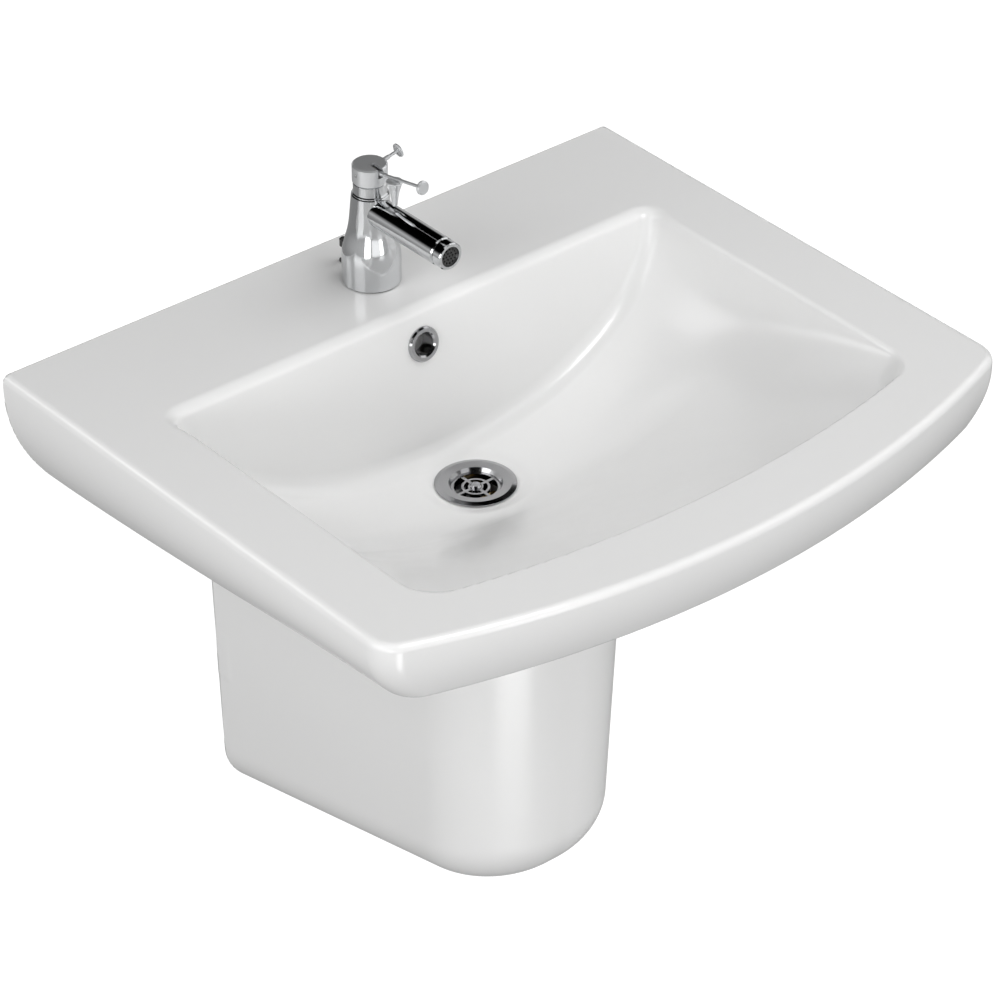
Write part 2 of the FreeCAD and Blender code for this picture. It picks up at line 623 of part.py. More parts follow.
rise = math.radians(cell("pin_rise"))
lever_dir = V(0, -math.cos(rise), math.sin(rise))
lever_tip = ("0", "-tap_y - lever_reach", "rim_z + pivot_z + lever_reach * tan(pin_rise)")
hub = cylinder("lever_hub", "hub_r", "9", ("-4.5", "-tap_y", "rim_z + pivot_z"), "X")
arm = turned("lever_pin", [
    ("0", "0"), ("1.9", "0"), ("1.9", "20"), ("1.4", "22"), ("1.3", "lever_reach / cos(pin_rise)"),
    ("0", "lever_reach / cos(pin_rise)"),
], on_tap("pivot_z"), lever_dir)
hub_bore = cylinder("hub_bore", "pivot_r + 0.06", "12", ("-6", "-tap_y", "rim_z + pivot_z"), "X")
node("lever_arm", cut("lever_arm_cut", fuse("lever_arm_fuse", hub, arm), hub_bore))
node("lever_disc", turned("lever_disc", [
    ("0", "0"), ("4.4", "0"), ("5.6", "0.8"), ("5.6", "2"), ("4.4", "2.8"), ("0", "2.8"),
], lever_tip, lever_dir))
node("lever_grip", turned("lever_grip", [
    ("0", "0"), ("1.8", "0"), ("2.3", "1.2"), ("2.9", "7"), ("4", "13"), ("5.6", "18"), ("6.5", "20.6"),
    ("6.5", "21.6"), ("5.2", "22.4"), ("0", "22.4"),
], ("0", "-tap_y - 30.5", "rim_z + 79.8")))

# ---------------------------------------------------------------- tap fixing under the deck

node("tap_stud", cylinder("tap_stud", "3.95", "68", ("0", "-tap_y + 10", "rim_z - 48")))


def horseshoe(label, outer, thick, down):
    """A plate under the deck, open towards the front so that the hoses pass."""
    plate = cylinder(f"{label}_plate", outer, thick, ("0", "-tap_y", f"rim_z - deck_t - {down}"))
    gap = block(f"{label}_gap", "28", "40", "10", ("-14", "-tap_y - 36", f"rim_z - deck_t - {down} - 2"))
    hole = cylinder(f"{label}_hole", "4.3", "10", ("0", "-tap_y + 10", f"rim_z - deck_t - {down} - 2"))
    return node(label, cut(f"{label}_cut", plate, gap, hole))


horseshoe("tap_rubber_washer", "22", "3", "3")
horseshoe("tap_metal_washer", "21", "2", "5")
tap_nut_blank = hexagon("tap_nut_blank", "13", "12", ("0", "-tap_y + 10", "rim_z - deck_t - 17"))
node("tap_nut", cut("tap_nut_cut", tap_nut_blank, cylinder(
    "tap_nut_hole", "4.05", "20", ("0", "-tap_y + 10", "rim_z - deck_t - 20"))))

for label, sign in (("hot_tail", "-1"), ("cold_tail", "1")):
    node(label, turned(label, [
        ("3.4", "0"), ("tap_tail_r", "0"), ("tap_tail_r", "tap_tail_free"), ("4.4", "tap_tail_free + 0.6"),
        ("4.4", "tap_tail_low + 19"), ("3.4", "tap_tail_low + 19"),
    ], (f"{sign} * 8.5", "-tap_y - 5", "rim_z - tap_tail_low")))

node("chain_stay", turned("chain_stay", [
    ("0", "0"), ("3.6", "0"), ("3.6", "1.4"), ("1.6", "2.4"), ("1.6", "13"), ("3.2", "14"), ("3.2", "20"),
    ("2.2", "21"), ("0", "21"),
], ("0", "-33", "rim_z")))

# ---------------------------------------------------------------- waste


def under_drain(height):
    """A place on the drain's upright axis, at a height under the rim."""
    return ("0", "-drain_y", f"rim_z - ({height})")


waste_tube = turned("waste_tube", [
    ("19.5", "0"), ("20.9", "0"), ("20.9", "waste_low - bowl_deep - 1"), ("flange_r - 2", "waste_low - bowl_deep - 1"),
    ("flange_r", "waste_low - bowl_deep"), ("flange_r", "waste_low - bowl_deep + 0.6"),
    ("flange_r - 4", "waste_low - bowl_deep + 1.8"), ("21.4", "waste_low - bowl_deep + 0.8"),
    ("19.5", "waste_low - bowl_deep - 2"),
], under_drain("waste_low"))
waste_slots = block("waste_slots", "60", "10", "9", ("-30", "-drain_y - 5", "rim_z - 147"))
waste_slots_across = block("waste_slots_across", "10", "60", "9", ("-5", "-drain_y - 30", "rim_z - 147"))
node("waste_body", cut("waste_body_cut", waste_tube, waste_slots, waste_slots_across))

grid_bars = [
    block("grid_bar_x", "38.6", "2.6", "3", ("-19.3", "-drain_y - 1.3", "rim_z - bowl_deep - 6")),
    block("grid_bar_y", "2.6", "38.6", "3", ("-1.3", "-drain_y - 19.3", "rim_z - bowl_deep - 6")),
    ring("grid_outer", "19.4", "17.4", "3", under_drain("bowl_deep + 6")),
    ring("grid_inner", "11.4", "9.4", "3", under_drain("bowl_deep + 6")),
    cylinder("grid_hub", "6", "3", under_drain("bowl_deep + 6")),
]
node("waste_grid", cut(
    "waste_grid_cut", fuse("waste_grid_fuse", *grid_bars),
    cylinder("grid_hub_hole", "2.6", "10", under_drain("bowl_deep + 9"))))
node("waste_screw", turned("waste_screw", [
    ("0", "0"), ("2.5", "0"), ("2.5", "14"), ("4.6", "14.1"), ("4.6", "15"), ("3.4", "16.2"), ("0", "16.4"),
], under_drain("bowl_deep + 17")))
screw_post = ring("screw_post", "4.4", "2.6", "14", under_drain("bowl_deep + 21"))
post_arm = block("post_arm", "38.6", "2.4", "5", ("-19.3", "-drain_y - 1.2", "rim_z - bowl_deep - 21"))
post_hole = cylinder("post_hole", "2.6", "30", under_drain("bowl_deep + 30"))
node("waste_bridge", cut("waste_bridge_cut", fuse("waste_bridge_fuse", screw_post, post_arm), post_hole))
node("waste_top_seal", ring("waste_top_seal", "flange_r - 2", "21.2", "0.9", under_drain("bowl_deep + 1.95")))
node("waste_lower_seal", ring("waste_lower_seal", "31", "21", "4", under_drain("drain_boss_low + 4")))
backnut_blank = hexagon("backnut_blank", "56", "9", under_drain("drain_boss_low + 13"))
node("waste_backnut", cut("backnut_cut", backnut_blank, cylinder(
    "backnut_hole", "20.95", "20", under_drain("drain_boss_low + 18"))))
node("waste_coupling_nut", turned("waste_coupling_nut", [
    ("16.2", "0"), ("21", "0"), ("25", "3"), ("25", "24"), ("21", "24"), ("21", "5"), ("16.2", "4"),
], under_drain("waste_low + 8")))
node("tailpiece", turned("tailpiece", [
    ("tail_bore_r", "0"), ("tail_r", "0"), ("tail_r", "trap_low + 22.4 - waste_low"),
    ("20.5", "trap_low + 22.4 - waste_low"), ("20.5", "trap_low + 24.8 - waste_low"),
    ("tail_bore_r", "trap_low + 24.8 - waste_low"),
], under_drain("trap_low + 25")))

# ---------------------------------------------------------------- bottle trap

node("trap_inlet_nut", turned("trap_inlet_nut", [
    ("16.3", "20"), ("16.3", "17"), ("22.3", "12"), ("22.3", "0"), ("27", "0"), ("27", "17"), ("24", "20"),
], under_drain("trap_top + 16")))
node("trap_inlet_seal", turned("trap_inlet_seal", [
    ("16.05", "0"), ("19", "0"), ("21.4", "1.2"), ("21.4", "1.8"), ("17.6", "4.8"), ("16.05", "4.8"),
], under_drain("trap_top + 6.2")))
trap_outside = fuse(
    "trap_outside",
    turned("trap_barrel", [
        ("0", "0"), ("trap_r", "0"), ("trap_r", "trap_low - trap_top - 22"), ("22", "trap_low - trap_top - 16"),
        ("22", "trap_low - trap_top - 6.4"), ("0", "trap_low - trap_top - 6.4"),
    ], under_drain("trap_low")),
    cylinder("trap_branch", "21.5", "44", ("0", "-drain_y + 10", "rim_z - outlet_z"), "Y"),
)
trap_inside = turned("trap_inside", [
    ("0", "0"), ("trap_r - 3", "0"), ("trap_r - 3", "trap_low - trap_top - 26"), ("16.6", "trap_low - trap_top - 19"),
    ("16.6", "trap_low - trap_top"), ("0", "trap_low - trap_top"),
], under_drain("trap_low + 0.5"))
trap_branch_bore = cylinder("trap_branch_bore", "16.4", "60", ("0", "-drain_y + 18", "rim_z - outlet_z"), "Y")
node("trap_body", cut("trap_body_cut", trap_outside, trap_inside, trap_branch_bore))
node("trap_cup_seal", ring("trap_cup_seal", "28.2", "25.2", "2", under_drain("trap_low + 2.05")))
node("trap_cup", turned("trap_cup", [
    ("0", "0"), ("12", "0"), ("22", "2"), ("28", "7"), ("cup_r", "15"), ("cup_r", "cup_low - trap_low + 12"),
    ("trap_r + 0.3", "cup_low - trap_low + 12"), ("trap_r + 0.3", "cup_low - trap_low - 2.1"),
    ("25", "cup_low - trap_low - 2.1"), ("25", "12"), ("20", "6"), ("12", "4"), ("0", "4"),
], under_drain("cup_low")))

OUTLET_Z = "rim_z - outlet_z"
node("trap_outlet_nut", turned("trap_outlet_nut", [
    ("16.3", "20"), ("16.3", "17"), ("21.8", "12"), ("21.8", "0"), ("26.5", "0"), ("26.5", "17"), ("23.5", "20"),
], ("0", "-drain_y + 43", OUTLET_Z), "Y"))
node("trap_outlet_seal", turned("trap_outlet_seal", [
    ("15.55", "0"), ("19", "0"), ("20.6", "0.5"), ("20.6", "1"), ("17.2", "4.4"), ("15.55", "4.4"),
], ("0", "-drain_y + 54.2", OUTLET_Z), "Y"))
node("trap_outlet_pipe", turned("trap_outlet_pipe", [
    ("tail_bore_r", "0"), ("tail_r - 0.5", "0"), ("tail_r - 0.5", "drain_y - 33.6"), ("tail_r", "drain_y - 33.2"),
    ("tail_r", "drain_y - 34 + pipe_in"), ("tail_bore_r", "drain_y - 34 + pipe_in"),
], ("0", "-drain_y + 34", OUTLET_Z), "Y"))
node("wall_rosette", turned("wall_rosette", [
    ("16.4", "9"), ("16.4", "11"), ("19", "11"), ("28", "7"), ("rosette_r", "1.4"), ("rosette_r", "0"),
    ("rosette_r - 1.4", "0"), ("28", "5"), ("20", "9"),
], ("0", "0", OUTLET_Z), "-Y"))

# ---------------------------------------------------------------- checks and files

doc.recompute()
for item in doc.Objects:
    if "Invalid" in item.State or "Error" in item.State:
        raise RuntimeError(f"{item.Label} failed: {item.State}")
os.makedirs("parts", exist_ok=True)
for item in NODES:
    if item.Shape.isNull() or not item.Shape.isValid():
        raise RuntimeError(f"{item.Label} has no valid shape")
for item in NODES:
    item.Shape.exportStep(f"parts/{item.Label}.step")
    print(item.Label, len(item.Shape.Solids), round(item.Shape.Volume / 1000, 2))
print(len(NODES), "nodes")
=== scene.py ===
"""Looks of a wall-hung basin with a semi-pedestal.

The two ceramic shells are built here as smooth meshes. The other pieces keep the frame's meshes
and get better materials."""

import math

import bpy
import numpy as np
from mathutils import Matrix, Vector


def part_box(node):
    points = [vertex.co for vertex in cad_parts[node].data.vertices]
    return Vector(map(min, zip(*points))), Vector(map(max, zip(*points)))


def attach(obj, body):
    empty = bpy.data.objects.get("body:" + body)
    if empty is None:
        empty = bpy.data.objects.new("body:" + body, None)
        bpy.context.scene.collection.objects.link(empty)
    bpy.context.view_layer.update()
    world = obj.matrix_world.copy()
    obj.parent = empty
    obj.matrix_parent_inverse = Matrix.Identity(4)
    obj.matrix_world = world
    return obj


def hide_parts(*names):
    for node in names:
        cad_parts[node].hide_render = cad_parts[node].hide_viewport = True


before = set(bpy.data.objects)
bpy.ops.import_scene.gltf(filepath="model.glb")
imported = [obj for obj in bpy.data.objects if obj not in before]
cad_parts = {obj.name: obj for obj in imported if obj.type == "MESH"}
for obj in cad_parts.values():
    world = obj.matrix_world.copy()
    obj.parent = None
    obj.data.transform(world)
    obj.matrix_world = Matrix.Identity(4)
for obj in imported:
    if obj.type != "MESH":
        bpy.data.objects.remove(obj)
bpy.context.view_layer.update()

MM = 0.001

# ---------------------------------------------------------------- shapes as fields
#
# A field gives, for points in millimetres, how far outside a shape they are: below zero inside.
# Depths are under the rim, so the rim is z = 0 here.

basin_low, basin_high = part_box("basin")
RIM = basin_high.z
HALF_WIDTH = basin_high.x / MM
FRONT = -basin_low.y / MM
FRONT_BOW = 800
FRONT_CORNER = 24
SIDE_TAPER = 0.0045
FRONT_DRAWN_IN = 12
DECK = 14
SKIRT = 13
WALL_PLATE = 18

# The skirt's section changes from the wall to the front: how deep its foot is, and how far
# its side is drawn in there. It starts to curve inwards CURVE_START under the rim.
FOOT_AT_WALL, FOOT_AT_FRONT = 109, 54
DRAWN_IN_AT_WALL, DRAWN_IN_AT_FRONT = 39.5, 23
CURVE_START = 11
CURVE_POWER = 2.1
CURVE_LIMIT = 1.4
SECTION_REACH = 440
SECTION_POWER = 1.35
SECTION_BLEND = 0.3

RIM_EDGE = 6.5
BACK_EDGE = 1.5
FOOT_EDGE = 5
SKIRT_LIP = 4.5
HOLE_EDGE = 1.2

BOWL_HALF = 239
BOWL_BACK = 126
BOWL_FRONT = 458
BOWL_BOW = 936
BOWL_LEAN = 0.187
BOWL_DEEP = 127.5
BOWL_BACK_DEEP = 122
BOWL_LIP = 5
BOWL_WALL = 12
BOWL_BACK_EDGE = 13

# What changes along the bowl, and from where to where: its corner radius and its rim's
# edge radius, and the shallow dish round the drain.
BOWL_CORNER_TIGHT, BOWL_CORNER_WIDE = 3.0, 30.0
BOWL_CORNER_SPAN = (190, 228)
BOWL_EDGE_BACK, BOWL_EDGE_FRONT = 9.5, 3.2
BOWL_EDGE_SPAN = (120, 165)
DISH_DEEP = 2.0
DISH_SPAN = (33, 47)
RAMP_START = 215
RAMP_BLEND = 50

DRAIN_Y = 195.5
DRAIN_R = 23
DRAIN_BOSS_R = 38
TAP_Y = 68.5
TAP_HOLE_R = 17.5
STUD_HALF_GAP = 140
STUD_HOLE_R = 7
OVERFLOW_DOWN = 30
OVERFLOW_R = 11
DUCT_HALF = 16
DUCT_WALL = 8


def smooth_step(low, high, value):
    share = np.clip((value - low) / (high - low), 0, 1)
    return share * share * (3 - 2 * share)


def mix(start, end, share):
    return start + (end - start) * share


def rounded(first, second, radius, lean=0.0):
    """Where two shapes overlap, with the edge rounded. lean is the cosine between their normals."""
    u = first + radius
    v = second + radius
    square = np.maximum(u * u + v * v - 2 * lean * u * v, 0) / (1 - lean * lean)
    on_arc = (u > lean * v) & (v > lean * u)
    return np.where(on_arc, np.sqrt(square) - radius, np.maximum(first, second))


def joined(first, second, radius):
    """Two shapes as one, with the inside corner filled to a radius."""
    return -rounded(-first, -second, radius)


def without(shape, tool, radius):
    """A shape with a tool taken out and the edge left rounded."""
    return rounded(shape, -tool, radius)


def slab(value, low, high):
    return np.maximum(low - value, value - high)


def box_field(across, y, z, half, y_span, z_span, radius=2.0):
    """A block centred on x = 0, its edges rounded."""
    sides = rounded(across - half, slab(y, *y_span), radius)
    return rounded(sides, slab(z, *z_span), radius)


def bowed(across, y, half, front, bow, corner):
    """A plan with straight sides and a bowed front with rounded corners."""
    arc = np.hypot(across, y - (bow - front)) - bow
    lean = (np.mean(half) - corner) / (bow - corner)
    return rounded(across - half, arc, corner, lean)


# ---------------------------------------------------------------- basin


def floor_depth(out):
    """Depth of the bowl's centre line at a distance out from the wall."""
    slope = (BOWL_DEEP - BOWL_LIP) / (BOWL_FRONT - RAMP_START - RAMP_BLEND / 2)
    behind = np.clip((DRAIN_Y - out) / (DRAIN_Y - BOWL_BACK), 0, None)
    ahead = np.clip(out - RAMP_START, 0, None)
    bend = np.minimum(ahead, RAMP_BLEND)
    climb = slope * (bend * bend / (2 * RAMP_BLEND) + np.maximum(ahead - RAMP_BLEND, 0))
    return BOWL_DEEP - (BOWL_DEEP - BOWL_BACK_DEEP) * behind ** 2 - climb


def trough(across, y, z, grow):
    """The round hollow that runs from the back wall to the front edge."""
    from_drain = np.hypot(across, y + DRAIN_Y)
    dish = DISH_DEEP * (1 - smooth_step(*DISH_SPAN, from_drain))
    wide = BOWL_HALF + grow
    deep = np.maximum(floor_depth(-y), 1) + grow + dish
    under = np.minimum(z, 0)
    reach = np.hypot(across / wide, under / deep)
    steepness = np.hypot(across / wide ** 2, under / deep ** 2)
    return np.where(steepness > 1e-6, reach * (reach - 1) / np.maximum(steepness, 1e-6), -deep)


def bowl(across, y, z, grow=0.0):
    """The bowl's hollow, or its outside when grown by the wall."""
    tilt = 1 / math.hypot(1, BOWL_LEAN)
    back = (y + BOWL_BACK - BOWL_LEAN * z) * tilt - grow
    bow = np.hypot(across, y - (BOWL_BOW - BOWL_FRONT)) - BOWL_BOW - grow
    corner = mix(BOWL_CORNER_TIGHT, BOWL_CORNER_WIDE, smooth_step(*BOWL_CORNER_SPAN, across))
    lean = (BOWL_HALF - BOWL_CORNER_WIDE) / (BOWL_BOW - BOWL_CORNER_WIDE)
    hollow = rounded(trough(across, y, z, grow), bow, corner, lean)
    return rounded(hollow, back, BOWL_BACK_EDGE + grow)


def skirt_share(y):
    """How far the skirt has changed from its section at the wall, 0, to the one at the front, 1."""
    out = np.clip(-y / SECTION_REACH, 0, None)
    gap = np.clip(SECTION_BLEND - np.abs(out - 1), 0, None)
    return (np.minimum(out, 1) - gap * gap / (4 * SECTION_BLEND)) ** SECTION_POWER


def basin_inner(across, y, z):
    """The bowl's outside, the drain boss, the overflow duct's walls and the wall plate, as one."""
    duct_half = DUCT_HALF + DUCT_WALL
    plate = box_field(across, y, z, 200, (-WALL_PLATE, 0), (-150, -8), 5)
    drain_boss = rounded(np.hypot(across, y + DRAIN_Y) - DRAIN_BOSS_R, slab(z, -165, -120), 3)
    duct = box_field(across, y, z, duct_half, (-130, -86), (-153, -8), 4)
    duct_foot = box_field(across, y, z, duct_half, (-DRAIN_Y, -100), (-153, -130), 4)
    inner = rounded(bowl(across, y, z + 1, BOWL_WALL), z + 4, 2)
    for part in (drain_boss, duct, duct_foot, plate):
        inner = joined(inner, part, 7)
    return inner


def basin_holes(across, y, z):
    """The duct's two legs, and the overflow, drain, tap and wall stud holes."""
    tilt = math.atan(BOWL_LEAN)
    over_y = y + BOWL_BACK + BOWL_LEAN * OVERFLOW_DOWN
    over_z = z + OVERFLOW_DOWN
    along = over_y * math.cos(tilt) - over_z * math.sin(tilt)
    over_r = np.hypot(across, over_y * math.sin(tilt) + over_z * math.cos(tilt))
    stud_r = np.hypot(across - STUD_HALF_GAP, z + RIM / MM)
    return (
        box_field(across, y, z, DUCT_HALF, (-112, -94), (-145, -21), 3),
        box_field(across, y, z, DUCT_HALF, (-DRAIN_Y + 4, -101), (-147, -138), 3),
        np.maximum(over_r - OVERFLOW_R, slab(along, -12, 18)),
        np.maximum(np.hypot(across, y + DRAIN_Y) - DRAIN_R, slab(z, -172, -115)),
        np.maximum(np.hypot(across, y + TAP_Y) - TAP_HOLE_R, slab(z, -30, 10)),
        np.maximum(stud_r - STUD_HOLE_R, slab(y, -30, 10)),
    )


def basin_field(x, y, z):
    across = np.abs(x)
    share = skirt_share(y)
    foot = mix(FOOT_AT_WALL, FOOT_AT_FRONT, share)
    drawn_in = mix(DRAWN_IN_AT_WALL, DRAWN_IN_AT_FRONT, share)
    curve = np.clip((-z - CURVE_START) / (foot - CURVE_START), 0, CURVE_LIMIT) ** CURVE_POWER
    side = HALF_WIDTH + SIDE_TAPER * y - drawn_in * curve
    plan = bowed(across, y, side, FRONT - FRONT_DRAWN_IN * curve, FRONT_BOW, FRONT_CORNER)
    body = rounded(rounded(rounded(plan, z, RIM_EDGE), y, BACK_EDGE), -z - foot, FOOT_EDGE)

    inner = basin_inner(across, y, z)
    hollow = rounded(rounded(plan + SKIRT, y + WALL_PLATE, 8), z + DECK, 10)
    hollow = without(hollow, inner, 8)
    shell = without(body, hollow, SKIRT_LIP)
    shell = joined(shell, inner, 3)

    edge = mix(BOWL_EDGE_BACK, BOWL_EDGE_FRONT, smooth_step(*BOWL_EDGE_SPAN, -y))
    shell = without(shell, bowl(across, y, z), edge)
    for tool in basin_holes(across, y, z):
        shell = without(shell, tool, HOLE_EDGE)
    return shell


# ---------------------------------------------------------------- semi-pedestal

SHROUD_TOP = 80
SHROUD_LOW = 495
SHROUD_RISE = 0.122
SHROUD_WALL = 12
SHROUD_HALF = 125.5
SHROUD_HALF_LOSS = 0.031
SHROUD_FRONT = 318
SHROUD_FRONT_LOSS = 0.034
SHROUD_TAPER = 0.123
SHROUD_CORNER = 81
SHROUD_UNDER_EDGE = 50
BOWL_CLEARANCE = 3
LUG_DOWN = 345
LUG_GAP = 176
LUG_DEEP = 14
LUG_HALF_HEIGHT = 25
LUG_HOLE_R = 5


def shroud(across, y, z, inset):
    """The outside of the semi-pedestal, or its inside when inset by the wall."""
    down = -z - SHROUD_TOP
    half = SHROUD_HALF - SHROUD_HALF_LOSS * down
    steep = math.hypot(1, SHROUD_TAPER)
    side = (across - half - SHROUD_TAPER * y) / steep + inset
    front = -y - (SHROUD_FRONT - SHROUD_FRONT_LOSS * down) + inset
    plan = rounded(side, front, SHROUD_CORNER - inset, SHROUD_TAPER / steep)
    under = (-SHROUD_LOW - SHROUD_RISE * y - z) / math.hypot(1, SHROUD_RISE) + inset
    return rounded(plan, under, SHROUD_UNDER_EDGE - inset)


def shroud_field(x, y, z):
    across = np.abs(x)
    walls = without(shroud(across, y, z, 0), shroud(across, y, z, SHROUD_WALL), 4)
    walls = rounded(rounded(walls, z + SHROUD_TOP, 3), y, 3)
    lug_y = slab(y, -LUG_DEEP, 0)
    lug_x = slab(across, LUG_GAP / 2 - 14, 112)
    lug_z = slab(z, -LUG_DOWN - LUG_HALF_HEIGHT, -LUG_DOWN + LUG_HALF_HEIGHT)
    lug = rounded(rounded(lug_x, lug_z, 5), lug_y, 2)
    walls = joined(walls, lug, 6)
    walls = without(walls, bowl(across, y, z + 1, BOWL_WALL + BOWL_CLEARANCE), 3)
    plate_gap = np.maximum(-y - WALL_PLATE - 4, -z - 153)
    walls = without(walls, plate_gap, 3)
    lug_hole = np.hypot(across - LUG_GAP / 2, z + LUG_DOWN) - LUG_HOLE_R
    return without(walls, np.maximum(lug_hole, -y - 30), HOLE_EDGE)


# ---------------------------------------------------------------- fields to meshes

SLOPE_SPAN = 0.05
SNAP_PASSES = 4
SNAP_REACH = 0.5
FLATTEST = 0.05


def cells_crossed(values):
    """One point in each grid cell that the surface crosses, and the quads that join them."""
    inside = values < 0
    shape = np.array(values.shape) - 1
    keys, places, quads = [], [], []

    def key(index):
        return (index[:, 0] * shape[1] + index[:, 1]) * shape[2] + index[:, 2]

    for axis in range(3):
        first = [slice(None)] * 3
        second = [slice(None)] * 3
        first[axis] = slice(0, -1)
        second[axis] = slice(1, None)
        starts, ends = inside[tuple(first)], inside[tuple(second)]
        nodes = np.argwhere(starts != ends)
        others = [a for a in range(3) if a != axis]
        kept = np.all([(nodes[:, a] > 0) & (nodes[:, a] < shape[a]) for a in others], axis=0)
        nodes = nodes[kept]
        step = np.eye(3, dtype=int)
        start_value = values[tuple(nodes.T)]
        end_value = values[tuple((nodes + step[axis]).T)]
        share = start_value / (start_value - end_value)
        place = nodes + share[:, None] * step[axis]
        ring = [(0, 0), (1, 0), (1, 1), (0, 1)]
        corners = [key(nodes - p * step[others[0]] - q * step[others[1]]) for p, q in ring]
        quad = np.stack(corners, axis=1)
        flip = inside[tuple(nodes.T)] == (axis == 1)
        quad[flip] = quad[flip][:, ::-1]
        quads.append(quad)
        keys.extend(corners)
        places.extend([place] * 4)
    keys = np.concatenate(keys)
    places = np.concatenate(places)
    used, index = np.unique(keys, return_inverse=True)
    count = np.bincount(index)
    points = np.stack([np.bincount(index, weights=places[:, a]) / count for a in range(3)], axis=1)
    return points, np.searchsorted(used, np.concatenate(quads))


def slope_of(field, points):
    """The gradient of a field, by differences over a small span."""
    columns = []
    for axis in range(3):
        offset = np.zeros(3)
        offset[axis] = SLOPE_SPAN
        change = field(*(points + offset).T) - field(*(points - offset).T)
        columns.append(change / (2 * SLOPE_SPAN))
    return np.stack(columns, axis=1)


def field_mesh(name, field, low, high, pitch):
    """A smooth quad mesh of a field that is the same on both sides of x = 0.

    The points are moved onto the surface in a few passes, each at most half a cell."""
    across = np.arange(0, high[0] + 2 * pitch, pitch)
    y = np.arange(low[1] - 2 * pitch, high[1] + 3 * pitch, pitch)
    z = np.arange(low[2] - 2 * pitch, high[2] + 3 * pitch, pitch)
    right = field(across[:, None, None], y[None, :, None], z[None, None, :])
    values = np.concatenate([right[:0:-1], right])
    points, quads = cells_crossed(values)
    points = points * pitch + np.array([-across[-1], y[0], z[0]])
    for _ in range(SNAP_PASSES):
        slope = slope_of(field, points)
        square = np.maximum((slope * slope).sum(axis=1), FLATTEST)
        move = -slope * (field(*points.T) / square)[:, None]
        length = np.linalg.norm(move, axis=1)
        share = np.minimum(1, SNAP_REACH * pitch / np.maximum(length, 1e-9))
        points = points + move * share[:, None]
    normals = slope_of(field, points)
    normals /= np.maximum(np.linalg.norm(normals, axis=1), 1e-9)[:, None]

    mesh = bpy.data.meshes.new(name)
    mesh.from_pydata((points * MM + np.array([0, 0, RIM])).tolist(), [], quads.tolist())
    mesh.validate()
    mesh.shade_smooth()
    mesh.normals_split_custom_set_from_vertices(normals.tolist())
    piece = bpy.data.objects.new(name, mesh)
    bpy.context.scene.collection.objects.link(piece)
    return piece


# ---------------------------------------------------------------- materials


def new_material(name, color, roughness, metallic=0.0):
    material = bpy.data.materials.new(name)
    material.use_nodes = True
    shader = material.node_tree.nodes["Principled BSDF"]
    shader.inputs["Base Color"].default_value = (*color, 1)
    shader.inputs["Roughness"].default_value = roughness
    shader.inputs["Metallic"].default_value = metallic
    return material, shader


def add_noise(material, scale, detail=3.0):
    nodes = material.node_tree.nodes
    place = nodes.new("ShaderNodeTexCoord")
    noise = nodes.new("ShaderNodeTexNoise")
    noise.inputs["Scale"].default_value = scale
    noise.inputs["Detail"].default_value = detail
    material.node_tree.links.new(place.outputs["Object"], noise.inputs["Vector"])
    return noise


def vary_roughness(material, shader, noise, low, high):
    span = material.node_tree.nodes.new("ShaderNodeMapRange")
    span.inputs["To Min"].default_value = low
    span.inputs["To Max"].default_value = high
    material.node_tree.links.new(noise.outputs["Fac"], span.inputs["Value"])
    material.node_tree.links.new(span.outputs["Result"], shader.inputs["Roughness"])


def vary_color(material, shader, noise, dark, light):
    blend = material.node_tree.nodes.new("ShaderNodeMix")
    blend.data_type = "RGBA"
    blend.inputs["A"].default_value = (*dark, 1)
    blend.inputs["B"].default_value = (*light, 1)
    material.node_tree.links.new(noise.outputs["Fac"], blend.inputs["Factor"])
    material.node_tree.links.new(blend.outputs["Result"], shader.inputs["Base Color"])


def add_bump(material, shader, noise, depth, strength):
    bump = material.node_tree.nodes.new("ShaderNodeBump")
    bump.inputs["Distance"].default_value = depth
    bump.inputs["Strength"].default_value = strength
    material.node_tree.links.new(noise.outputs["Fac"], bump.inputs["Height"])
    material.node_tree.links.new(bump.outputs["Normal"], shader.inputs["Normal"])


def glaze():
    """White sanitary glaze: glossy, very slightly uneven, with a faint ripple."""
    material, shader = new_material("white_glaze", (0.86, 0.86, 0.85), 0.2)
    cloud = add_noise(material, 6)
    vary_color(material, shader, cloud, (0.845, 0.845, 0.84), (0.87, 0.87, 0.868))
    vary_roughness(material, shader, add_noise(material, 40), 0.17, 0.23)
    add_bump(material, shader, add_noise(material, 70, 1.0), 0.0004, 0.05)
    return material


def chrome(name, color, roughness):
    material, shader = new_material(name, color, roughness, 1.0)
    vary_roughness(material, shader, add_noise(material, 180), roughness - 0.03, roughness + 0.03)
    add_bump(material, shader, add_noise(material, 220, 2.0), 0.0001, 0.04)
    return material


def satin_chrome():
    """Chrome on the small turned parts, a little softer than on the body."""
    material, shader = new_material("satin_chrome", (0.70, 0.71, 0.72), 0.3, 0.7)
    vary_roughness(material, shader, add_noise(material, 180), 0.26, 0.34)
    return material


def steel():
    material, shader = new_material("zinc_steel", (0.56, 0.56, 0.55), 0.3, 1.0)
    vary_roughness(material, shader, add_noise(material, 350), 0.22, 0.42)
    add_bump(material, shader, add_noise(material, 600), 0.0002, 0.15)
    return material


def brass():
    material, shader = new_material("brass", (0.72, 0.55, 0.28), 0.3, 1.0)
    vary_color(material, shader, add_noise(material, 120), (0.66, 0.49, 0.24), (0.76, 0.59, 0.31))
    vary_roughness(material, shader, add_noise(material, 300), 0.2, 0.4)
    return material


def rubber():
    material, shader = new_material("black_rubber", (0.02, 0.02, 0.02), 0.6)
    vary_roughness(material, shader, add_noise(material, 500), 0.5, 0.75)
    add_bump(material, shader, add_noise(material, 900), 0.0002, 0.2)
    return material


